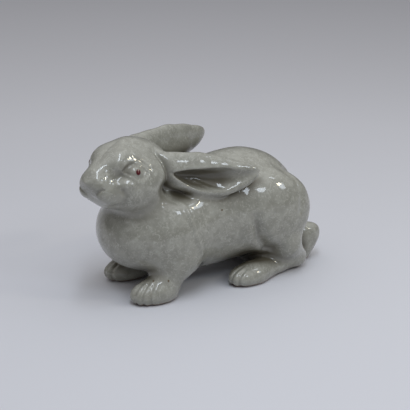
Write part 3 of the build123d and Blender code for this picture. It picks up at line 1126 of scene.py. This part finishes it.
class NodeBench:
    """A new material and the few kinds of node that the finishes are put together from."""

    def __init__(self, name: str) -> None:
        """Starts a material with a plain shader.

        Args:
            name: Name of the material.
        """
        self.material = bpy.data.materials.new(name)
        self.material.use_nodes = True
        self.nodes = self.material.node_tree.nodes
        self.links = self.material.node_tree.links
        self.shader = self.nodes["Principled BSDF"]

    def dial(self, settings: dict[str, float | Colour]) -> None:
        """Sets sockets of the shader by their names."""
        for name, value in settings.items():
            self.shader.inputs[name].default_value = value

    def feed(self, value: bpy.types.NodeSocket, name: str) -> None:
        """Links a value to the shader's socket of the given name."""
        self.links.new(value, self.shader.inputs[name])

    def place(self) -> bpy.types.NodeSocket:
        """The object's own coordinates, in metres."""
        return self.nodes.new("ShaderNodeTexCoord").outputs["Object"]

    def noise(self, place: bpy.types.NodeSocket, mottle: Mottle) -> bpy.types.NodeSocket:
        """A cloudy pattern over the given coordinates.

        Args:
            place: Coordinates.
            mottle: The pattern.

        Returns:
            The pattern's value, from 0 to 1.
        """
        node = self.nodes.new("ShaderNodeTexNoise")
        node.inputs["Scale"].default_value = mottle.scale
        node.inputs["Detail"].default_value = mottle.detail
        node.inputs["Distortion"].default_value = mottle.twist
        self.links.new(place, node.inputs["Vector"])
        return node.outputs["Fac"]

    def ramp(self, value: bpy.types.NodeSocket, low: float, high: float) -> bpy.types.NodeSocket:
        """A value stretched so that low becomes 0 and high becomes 1.

        Args:
            value: The value.
            low: What becomes 0.
            high: What becomes 1.

        Returns:
            The stretched value.
        """
        node = self.nodes.new("ShaderNodeMapRange")
        node.inputs["From Min"].default_value = low
        node.inputs["From Max"].default_value = high
        self.links.new(value, node.inputs["Value"])
        return node.outputs["Result"]

    def gap(self, place: bpy.types.NodeSocket, spot: Triple) -> bpy.types.NodeSocket:
        """The distance from a spot.

        Args:
            place: Coordinates.
            spot: The spot, in metres.

        Returns:
            The distance in metres.
        """
        node = self.nodes.new("ShaderNodeVectorMath")
        node.operation = "DISTANCE"
        node.inputs[1].default_value = spot
        self.links.new(place, node.inputs[0])
        return node.outputs["Value"]

    def height(self, place: bpy.types.NodeSocket) -> bpy.types.NodeSocket:
        """The height of a place above the floor.

        Args:
            place: Coordinates.

        Returns:
            The height in metres.
        """
        node = self.nodes.new("ShaderNodeSeparateXYZ")
        self.links.new(place, node.inputs["Vector"])
        return node.outputs["Z"]

    def attribute(self, name: str) -> bpy.types.NodeSocket:
        """A value that the skin carries at each of its points.

        Args:
            name: Name of the value.

        Returns:
            The value.
        """
        node = self.nodes.new("ShaderNodeAttribute")
        node.attribute_name = name
        return node.outputs["Fac"]

    def mix(
        self, share: bpy.types.NodeSocket, one: bpy.types.NodeSocket | Colour,
        other: bpy.types.NodeSocket | Colour,
    ) -> bpy.types.NodeSocket:
        """One colour turning into another.

        Args:
            share: How much of the other colour shows, from 0 to 1.
            one: The first colour.
            other: The other colour.

        Returns:
            The mixed colour.
        """
        node = self.nodes.new("ShaderNodeMix")
        node.data_type = "RGBA"
        self.links.new(share, node.inputs["Factor"])
        first, last = [socket for socket in node.inputs if socket.type == "RGBA"]
        for value, socket in ((one, first), (other, last)):
            if isinstance(value, tuple):
                socket.default_value = value
            else:
                self.links.new(value, socket)
        return [socket for socket in node.outputs if socket.type == "RGBA"][0]

    def bump(self, height: bpy.types.NodeSocket, strength: float, depth: float) -> bpy.types.NodeSocket:
        """Unevenness of a surface.

        Args:
            height: How high each place stands, from 0 to 1.
            strength: How strong the unevenness looks.
            depth: What a height of 1 is in metres.

        Returns:
            The uneven surface's normal.
        """
        node = self.nodes.new("ShaderNodeBump")
        node.inputs["Strength"].default_value = strength
        node.inputs["Distance"].default_value = depth
        self.links.new(height, node.inputs["Height"])
        return node.outputs["Normal"]


@dataclass(frozen=True)
class GlazeFinish:
    """Grey-white glaze: cloudy, darker where it pools and with painted shade in hollows, clay-brown where
    the feet were wiped bare.

    Attributes:
        body: Colour of the glaze.
        cloud: Colour of its clouds.
        thin: Colour of the wisps, and of the glaze where it runs thin.
        pool_and_shade_colour: Colour where the glaze pools, and painted shade in creases and hollows.
        bare_clay: Colour of the clay at the soles.
        iron: Colour of the iron specks.
        roughness: Roughness under the clear coat.
        specular: Level of the reflection under the clear coat.
        coat: Weight of the clear coat.
        coat_roughness: Roughness of the clear coat.
        clouds: Pattern of the clouds.
        cloud_band: Values of the pattern between which the clouds set in.
        wisps: Pattern of the wisps.
        wisp_band: Values of the pattern between which the wisps set in.
        grain: Pattern of the fine unevenness under the clear coat.
        grain_strength: Strength of that unevenness.
        waves: Pattern of the clear coat's own unevenness.
        wave_strength: Strength of that unevenness.
        relief: Depth of both, in metres.
        bare_height: Height up to which the clay shows, in metres.
        bare_share: Share of that height below which the clay is all bare.
        specks: Places of the iron specks, in metres.
        speck_radius: Radius of a speck, in metres.
        speck_share: Share of that radius within which a speck is all iron.
    """

    body: Colour = (0.266, 0.261, 0.222, 1.0)
    cloud: Colour = (0.344, 0.339, 0.294, 1.0)
    thin: Colour = (0.42, 0.415, 0.365, 1.0)
    pool_and_shade_colour: Colour = (0.10, 0.089, 0.062, 1.0)
    bare_clay: Colour = (0.15, 0.062, 0.030, 1.0)
    iron: Colour = (0.10, 0.055, 0.022, 1.0)
    roughness: float = 0.4
    specular: float = 0.2
    coat: float = 1.0
    coat_roughness: float = 0.045
    clouds: Mottle = Mottle(130.0, 6.0, 0.6)
    cloud_band: Pair = (0.38, 0.68)
    wisps: Mottle = Mottle(330.0, 3.0, 1.5)
    wisp_band: Pair = (0.5, 0.76)
    grain: Mottle = Mottle(231.0, 4.0, 1.0)
    grain_strength: float = 0.16
    waves: Mottle = Mottle(110.0, 1.0)
    wave_strength: float = 0.25
    relief: float = 0.0012
    bare_height: float = 0.0023
    bare_share: float = 0.4
    specks: Sequence[Triple] = (
        (0.0405, -0.0012, 0.0688), (0.0370, -0.0617, 0.0190), (0.0432, -0.0516, 0.0192),
    )
    speck_radius: float = 0.0011
    speck_share: float = 0.3

    def material(self) -> bpy.types.Material:
        """Builds the glaze: its colours in layers, a fine grain, and waves in the clear coat.

        Returns:
            The material.
        """
        bench = NodeBench("grey_white_glaze")
        bench.dial({
            "Roughness": self.roughness,
            "Specular IOR Level": self.specular,
            "Coat Weight": self.coat,
            "Coat Roughness": self.coat_roughness,
        })
        place = bench.place()
        cloudy = bench.ramp(bench.noise(place, self.clouds), *self.cloud_band)
        colour = bench.mix(cloudy, self.body, self.cloud)
        wispy = bench.ramp(bench.noise(place, self.wisps), *self.wisp_band)
        colour = bench.mix(wispy, colour, self.thin)
        colour = bench.mix(bench.attribute("ridge"), colour, self.thin)
        # Glaze pooling and painted shade: darker in creases, hollows and the ears' scoops.
        colour = bench.mix(bench.attribute("pool"), colour, self.pool_and_shade_colour)
        bare = bench.ramp(bench.height(place), self.bare_height, self.bare_height * self.bare_share)
        colour = bench.mix(bare, colour, self.bare_clay)
        for speck in self.specks:
            gap = bench.gap(place, speck)
            spot = bench.ramp(gap, self.speck_radius, self.speck_radius * self.speck_share)
            colour = bench.mix(spot, colour, self.iron)
        bench.feed(colour, "Base Color")
        grain = bench.noise(place, self.grain)
        bench.feed(bench.bump(grain, self.grain_strength, self.relief), "Normal")
        waves = bench.noise(place, self.waves)
        bench.feed(bench.bump(waves, self.wave_strength, self.relief), "Coat Normal")
        return bench.material


@dataclass(frozen=True)
class EnamelFinish:
    """Dark red enamel of the pupils."""

    colour: Colour = (0.085, 0.010, 0.014, 1.0)
    roughness: float = 0.15

    def material(self) -> bpy.types.Material:
        """Builds the enamel, one even colour.

        Returns:
            The material.
        """
        bench = NodeBench("red_enamel")
        bench.dial({"Roughness": self.roughness, "Base Color": self.colour})
        return bench.material


def towards(azimuth: float, elevation: float) -> Vector:
    """The unit vector from the rabbit towards a place round it.

    Args:
        azimuth: Degrees from the front towards the rabbit's left.
        elevation: Degrees above the table.

    Returns:
        The unit vector.
    """
    turn, lift = math.radians(azimuth), math.radians(elevation)
    level = math.cos(lift)
    return Vector((math.sin(turn) * level, -math.cos(turn) * level, math.sin(lift)))


@dataclass(frozen=True)
class Lamp:
    """A soft lamp that looks at the rabbit, by default a window's cool light.

    Attributes:
        name: Name of the lamp.
        azimuth: Where it stands round the rabbit, in degrees from the front to the rabbit's left.
        elevation: How high it stands, in degrees.
        size: Width and height in metres.
        radiance: How bright it looks. Its power is this times pi times its area.
        colour: Tint.
        reach: Distance from the rabbit in metres.
    """

    name: str
    azimuth: float
    elevation: float
    size: Pair
    radiance: float
    colour: Triple = (0.80, 0.89, 1.0)
    reach: float = 1.0

    def hang(self, target: Vector) -> None:
        """Puts the lamp into the scene.

        Args:
            target: What the lamp looks at, in metres.
        """
        away = towards(self.azimuth, self.elevation)
        light = bpy.data.lights.new(self.name, "AREA")
        light.shape = "RECTANGLE"
        light.size, light.size_y = self.size
        light.energy = self.radiance * math.pi * self.size[0] * self.size[1]
        light.color = self.colour
        lamp = bpy.data.objects.new(self.name, light)
        lamp.location = target + away * self.reach
        lamp.rotation_euler = away.to_track_quat("Z", "Y").to_euler()
        bpy.context.scene.collection.objects.link(lamp)


@dataclass(frozen=True)
class Studio:
    """The pale table top, soft lamps and the camera.

    Attributes:
        target: What the camera and the lamps look at, in millimetres.
        azimuth: Where the camera stands, in degrees from the front to the rabbit's left.
        elevation: How high it stands, in degrees.
        distance: How far away it stands, in millimetres.
        pixels_per_mm: Scale of the picture at the target.
        frame_pixels: Width of the picture.
        sensor: Width of the camera's sensor, in millimetres.
        nearest: Distance from the camera at which it starts to see, in metres.
        lamps: Four cool windows and a warm lamp.
        sky_colour: Tint of the room's own glow.
        sky_glow: Strength of that glow at the walls and at the ceiling.
        table_reach: Distance from the rabbit to the table's edges, in metres.
        table_roughness: Roughness of the table top.
        dusk: Distances between which painted shade darkens the table top, in metres.
        near_table: Colour of the table top at the rabbit.
        far_table_painted_shade: Colour of the table top far away, darkened with painted shade.
    """

    target: Triple = (0.0, 6.5, 60.0)
    azimuth: float = 60.0
    elevation: float = 18.5
    distance: float = 900.0
    pixels_per_mm: float = 1.2
    frame_pixels: float = 410.0
    sensor: float = 36.0
    nearest: float = 0.01
    lamps: Sequence[Lamp] = (
        Lamp("window", 103.0, 39.0, (0.16, 0.16), 8.5),
        Lamp("side_window", 137.0, 31.0, (0.14, 0.28), 6.5, reach=1.1),
        Lamp("high_window", 150.0, 56.0, (0.05, 0.13), 9.0),
        Lamp("skylight", 62.0, 68.0, (0.13, 0.80), 10.0),
        Lamp("warm_lamp", 135.0, 36.0, (0.075, 0.075), 34.0, colour=(1.0, 0.86, 0.55)),
    )
    sky_colour: Colour = (0.99, 0.982, 0.985, 1.0)
    sky_glow: Pair = (0.08, 1.12)
    table_reach: float = 8.0
    table_roughness: float = 0.8
    dusk: Pair = (0.55, 1.85)
    near_table: Colour = (0.596, 0.598, 0.634, 1.0)
    far_table_painted_shade: Colour = (0.440, 0.444, 0.478, 1.0)

    def camera(self) -> None:
        """Puts the camera at the photograph's viewing angle."""
        back = towards(self.azimuth, self.elevation)
        camera = bpy.data.cameras.new("camera")
        camera.sensor_width = self.sensor
        camera.lens = self.sensor * self.distance * self.pixels_per_mm / self.frame_pixels
        camera.clip_start = self.nearest
        seat = bpy.data.objects.new("camera", camera)
        seat.location = (Vector(self.target) + back * self.distance) * MM
        seat.rotation_euler = back.to_track_quat("Z", "Y").to_euler()
        bpy.context.scene.collection.objects.link(seat)
        bpy.context.scene.camera = seat

    def room(self) -> None:
        """A room whose glow rises from walls to ceiling with the square of a direction's height."""
        world = bpy.data.worlds.new("room")
        bpy.context.scene.world = world
        world.use_nodes = True
        nodes, links = world.node_tree.nodes, world.node_tree.links
        sky = nodes["Background"]
        sky.inputs["Color"].default_value = self.sky_colour
        split = nodes.new("ShaderNodeSeparateXYZ")
        links.new(nodes.new("ShaderNodeTexCoord").outputs["Generated"], split.inputs["Vector"])
        square = nodes.new("ShaderNodeMath")
        square.operation = "MULTIPLY"
        for socket in square.inputs[:2]:
            links.new(split.outputs["Z"], socket)
        glow = nodes.new("ShaderNodeMapRange")
        glow.inputs["To Min"].default_value, glow.inputs["To Max"].default_value = self.sky_glow
        links.new(square.outputs["Value"], glow.inputs["Value"])
        links.new(glow.outputs["Result"], sky.inputs["Strength"])

    def light(self) -> None:
        """Lights the room and hangs the lamps."""
        self.room()
        for lamp in self.lamps:
            lamp.hang(Vector(self.target) * MM)

    def floor(self) -> None:
        """A wide pale table top, a little darker far away from the rabbit with painted shade."""
        reach = self.table_reach
        corners = [(-reach, -reach, 0), (reach, -reach, 0), (reach, reach, 0), (-reach, reach, 0)]
        mesh = bpy.data.meshes.new("table_top")
        mesh.from_pydata(corners, [], [(0, 1, 2, 3)])
        bench = NodeBench("pale_table")
        bench.dial({"Roughness": self.table_roughness})
        # Painted shade: the table top darkens away from the rabbit.
        shade = bench.ramp(bench.gap(bench.place(), (0, 0, 0)), *self.dusk)
        bench.feed(bench.mix(shade, self.near_table, self.far_table_painted_shade), "Base Color")
        mesh.materials.append(bench.material)
        table = bpy.data.objects.new("table_top", mesh)
        bpy.context.scene.collection.objects.link(table)


@dataclass(frozen=True)
class Skin:
    """The glaze over the clay, meshed once and parted along the lines where the parts are luted.

    Attributes:
        rabbit: The clay.
        mesher: What meshes it.
        finish: The glaze.
        short_step: A step from the surface that feels creases and ridges, in millimetres.
        long_step: A step from the surface that feels wide hollows.
        crease_share: How much glaze pooling and painted shade a sharp crease gathers.
        bowl_share: How much glaze pooling and painted shade a wide hollow gathers.
        pool_start: How much hollowness stays without glaze pooling or painted shade.
        scoop_share: How much glaze pooling and painted shade gathers on the floor of an ear's scoop.
        ridge_share: How fast glaze thins on a ridge.
        ridge_start: How much of a ridge stays covered.
        ridge_limit: How far glaze thins at most.
    """

    rabbit: Rabbit
    mesher: SkinMesher
    finish: GlazeFinish
    short_step: float = 2.5
    long_step: float = 10.0
    crease_share: float = 0.7
    bowl_share: float = 1.1
    pool_start: float = 0.16
    scoop_share: float = 0.95
    ridge_share: float = 1.3
    ridge_start: float = 0.1
    ridge_limit: float = 0.8

    def hollowness(self, points: Array, normals: Array) -> tuple[Array, Array]:
        """How much the glaze pools in hollows, drawn darker with painted shade, and thins on ridges at
        each point, from 0 to 1.

        A step outwards by h from a flat surface leads h away from it, and from a hollow less far. A
        step inwards by h from a flat surface leads h deep, and from a ridge less deep.

        Args:
            points: Points on the surface.
            normals: Unit vectors outwards.

        Returns:
            Shares of pooling with painted shade, and of thinning.
        """
        clay = self.rabbit.clay
        crease = np.clip(1 - clay(points + normals * self.short_step) / self.short_step, 0, 1)
        bowl = np.clip(1 - clay(points + normals * self.long_step) / self.long_step, 0, 1)
        depth = -clay(points - normals * self.short_step) / self.short_step
        # Glaze pooling and painted shade: creases and hollows darken, and the ears' scoops most.
        pool = np.clip(self.crease_share * crease + self.bowl_share * bowl - self.pool_start, 0, 1)
        for ear in (self.rabbit.left_ear, self.rabbit.right_ear):
            pool = np.maximum(pool, self.scoop_share * ear.hollow(points, normals))
        return pool, np.clip(self.ridge_share * (1 - depth) - self.ridge_start, 0, self.ridge_limit)

    def build(self) -> list[bpy.types.Object]:
        """Meshes the clay and makes one piece for each part.

        Returns:
            The pieces, riding on the root body, each in place of its part's node.
        """
        clay = self.rabbit.clay
        points, quads = self.mesher.net(clay)
        points = settle(clay, points)
        normals = slope_of(clay, points)
        normals /= np.linalg.norm(normals, axis=-1, keepdims=True) + LEAST_LENGTH
        pool, ridge = self.hollowness(points, normals)
        forms = self.rabbit.forms(points[quads].mean(1))
        names = list(forms)
        owner = np.argmin(np.stack([forms[name] for name in names]), 0)
        material = self.finish.material()
        pieces = []
        for number, name in enumerate(names):
            used, faces = np.unique(quads[owner == number], return_inverse=True)
            mesh = bpy.data.meshes.new(f"{name}_skin")
            mesh.from_pydata((points[used] * MM).tolist(), [], faces.reshape(-1, 4).tolist())
            mesh.polygons.foreach_set("use_smooth", [True] * len(mesh.polygons))
            mesh.normals_split_custom_set_from_vertices(normals[used].tolist())
            # The first attribute carries glaze pooling and painted shade.
            for label, values in (("pool", pool), ("ridge", ridge)):
                layer = mesh.attributes.new(label, "FLOAT", "POINT")
                layer.data.foreach_set("value", values[used].astype(np.float32))
            mesh.materials.append(material)
            piece = bpy.data.objects.new(f"{name}_skin", mesh)
            bpy.context.scene.collection.objects.link(piece)
            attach(piece, "root")
            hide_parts(name)
            pieces.append(piece)
        return pieces


def main() -> None:
    """Builds the rabbit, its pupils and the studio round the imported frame."""
    logging.basicConfig(level=logging.INFO, format="%(message)s")
    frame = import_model()
    bpy.context.scene.view_settings.view_transform = "Standard"
    for piece in Skin(Rabbit(), SkinMesher(), GlazeFinish()).build():
        LOG.info("%s: %d points, %d quads", piece.name, len(piece.data.vertices), len(piece.data.polygons))
    enamel = EnamelFinish().material()
    for name in ("left_eye_enamel", "right_eye_enamel"):
        for slot in frame["nodes"][name].material_slots:
            slot.link = "OBJECT"
            slot.material = enamel
        LOG.info("%s: enamelled", name)
    studio = Studio()
    studio.floor()
    studio.light()
    studio.camera()


if __name__ == "__main__":
    main()
